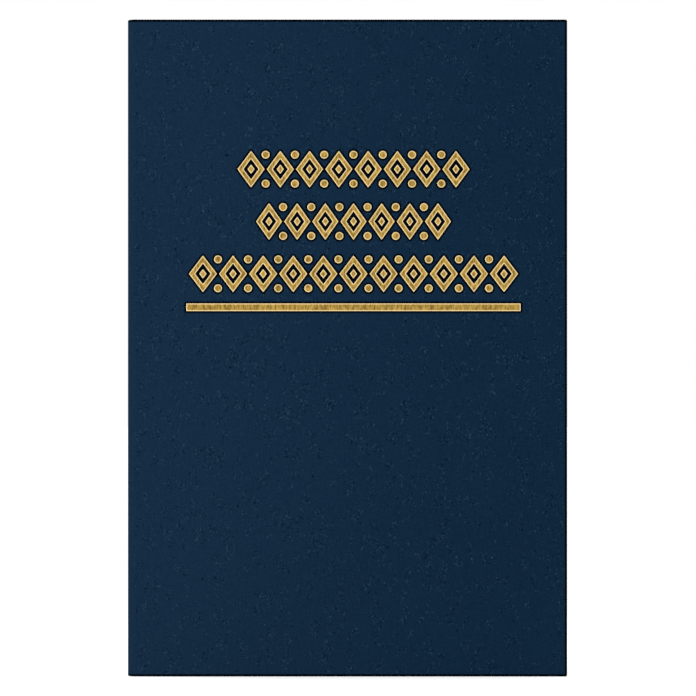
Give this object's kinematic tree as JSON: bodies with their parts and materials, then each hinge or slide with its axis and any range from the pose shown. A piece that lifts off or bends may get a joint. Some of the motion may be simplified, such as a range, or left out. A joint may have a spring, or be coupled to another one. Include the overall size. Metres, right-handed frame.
{
  "type": "logbook",
  "caption": "Hardbound log book in navy cloth with gold blocked ornament, rounded spine, sewn sections, opening covers and turning leaves",
  "frame": {"origin": "on the surface the book stands on, under the middle of its box", "axes": "+Z from tail to head, +X from spine to fore-edge, front cover faces -Y"},
  "size_m": [0.1446, 0.0186, 0.216],
  "materials": {
    "book_cloth": "matt fine-grained book cloth",
    "gold_foil": "satin gold foil",
    "grey_board": "matt grey board",
    "mull": "open cotton gauze",
    "kraft_paper": "matt kraft paper",
    "leaf_paper": "uncoated paper",
    "endpaper": "uncoated heavier paper",
    "headband_cotton": "woven cotton band",
    "linen_thread": "waxed linen thread"
  },
  "bodies": {
    "text_block": {"section_01": "leaf_paper", "section_02": "leaf_paper", "section_03": "leaf_paper", "section_04": "leaf_paper", "section_05": "leaf_paper", "section_06": "leaf_paper", "section_07": "leaf_paper", "section_08": "leaf_paper", "section_09": "leaf_paper", "section_10": "leaf_paper", "section_11": "leaf_paper", "section_12": "leaf_paper", "sewing_threads": "linen_thread", "spine_mull": "mull", "spine_lining": "kraft_paper", "headband": "headband_cotton", "tailband": "headband_cotton", "spine_inlay": "grey_board", "spine_cloth": "book_cloth"},
    "front_cover": {"front_board": "grey_board", "front_cover_cloth": "book_cloth", "front_mull_flap": "mull", "front_pastedown": "endpaper", "foil_row_1": "gold_foil", "foil_row_2": "gold_foil", "foil_row_3": "gold_foil", "foil_rule": "gold_foil"},
    "back_cover": {"back_board": "grey_board", "back_cover_cloth": "book_cloth", "back_mull_flap": "mull", "back_pastedown": "endpaper"},
    "front_flyleaf": {"front_flyleaf": "endpaper"},
    "title_leaf": {"title_leaf": "leaf_paper"},
    "log_leaf_1": {"log_leaf_1": "leaf_paper"},
    "log_leaf_2": {"log_leaf_2": "leaf_paper"},
    "log_leaf_3": {"log_leaf_3": "leaf_paper"},
    "log_leaf_4": {"log_leaf_4": "leaf_paper"},
    "back_flyleaf": {"back_flyleaf": "endpaper"},
    "notes_leaf_1": {"notes_leaf_1": "leaf_paper"},
    "notes_leaf_2": {"notes_leaf_2": "leaf_paper"},
    "notes_leaf_3": {"notes_leaf_3": "leaf_paper"}
  },
  "joints": [
    {"name": "front_cover_hinge", "type": "hinge", "parent": "text_block", "child": "front_cover", "pos_m": [-0.0701, -0.00911, 0.108], "axis": [0, 0, -1], "range_deg": [0, 180]},
    {"name": "back_cover_hinge", "type": "hinge", "parent": "text_block", "child": "back_cover", "pos_m": [-0.0701, 0.00911, 0.108], "axis": [0, 0, 1], "range_deg": [0, 180]},
    {"name": "front_flyleaf_turn", "type": "hinge", "parent": "text_block", "child": "front_flyleaf", "pos_m": [-0.0701, -0.00911, 0.108], "axis": [0, 0, -1], "range_deg": [0, 167.4]},
    {"name": "title_leaf_turn", "type": "hinge", "parent": "text_block", "child": "title_leaf", "pos_m": [-0.06723, -0.00595, 0.108], "axis": [0, 0, -1], "range_deg": [0, 115.2]},
    {"name": "log_leaf_1_turn", "type": "hinge", "parent": "text_block", "child": "log_leaf_1", "pos_m": [-0.06698, -0.00583, 0.108], "axis": [0, 0, -1], "range_deg": [0, 93.6]},
    {"name": "log_leaf_2_turn", "type": "hinge", "parent": "text_block", "child": "log_leaf_2", "pos_m": [-0.06673, -0.0057, 0.108], "axis": [0, 0, -1], "range_deg": [0, 72]},
    {"name": "log_leaf_3_turn", "type": "hinge", "parent": "text_block", "child": "log_leaf_3", "pos_m": [-0.06648, -0.00558, 0.108], "axis": [0, 0, -1], "range_deg": [0, 48.6]},
    {"name": "log_leaf_4_turn", "type": "hinge", "parent": "text_block", "child": "log_leaf_4", "pos_m": [-0.06623, -0.00545, 0.108], "axis": [0, 0, -1], "range_deg": [0, 23.4]},
    {"name": "back_flyleaf_turn", "type": "hinge", "parent": "text_block", "child": "back_flyleaf", "pos_m": [-0.0701, 0.00911, 0.108], "axis": [0, 0, 1], "range_deg": [0, 167.4]},
    {"name": "notes_leaf_1_turn", "type": "hinge", "parent": "text_block", "child": "notes_leaf_1", "pos_m": [-0.06723, 0.00595, 0.108], "axis": [0, 0, 1], "range_deg": [0, 108]},
    {"name": "notes_leaf_2_turn", "type": "hinge", "parent": "text_block", "child": "notes_leaf_2", "pos_m": [-0.06698, 0.00583, 0.108], "axis": [0, 0, 1], "range_deg": [0, 72]},
    {"name": "notes_leaf_3_turn", "type": "hinge", "parent": "text_block", "child": "notes_leaf_3", "pos_m": [-0.06673, 0.0057, 0.108], "axis": [0, 0, 1], "range_deg": [0, 32.4]}
  ],
  "couplings": [
    {"joint": "front_flyleaf_turn", "follows": "front_cover_hinge", "ratio": 0.93},
    {"joint": "title_leaf_turn", "follows": "front_cover_hinge", "ratio": 0.64},
    {"joint": "log_leaf_1_turn", "follows": "front_cover_hinge", "ratio": 0.52},
    {"joint": "log_leaf_2_turn", "follows": "front_cover_hinge", "ratio": 0.4},
    {"joint": "log_leaf_3_turn", "follows": "front_cover_hinge", "ratio": 0.27},
    {"joint": "log_leaf_4_turn", "follows": "front_cover_hinge", "ratio": 0.13},
    {"joint": "back_flyleaf_turn", "follows": "back_cover_hinge", "ratio": 0.93},
    {"joint": "notes_leaf_1_turn", "follows": "back_cover_hinge", "ratio": 0.6},
    {"joint": "notes_leaf_2_turn", "follows": "back_cover_hinge", "ratio": 0.4},
    {"joint": "notes_leaf_3_turn", "follows": "back_cover_hinge", "ratio": 0.18}
  ]
}
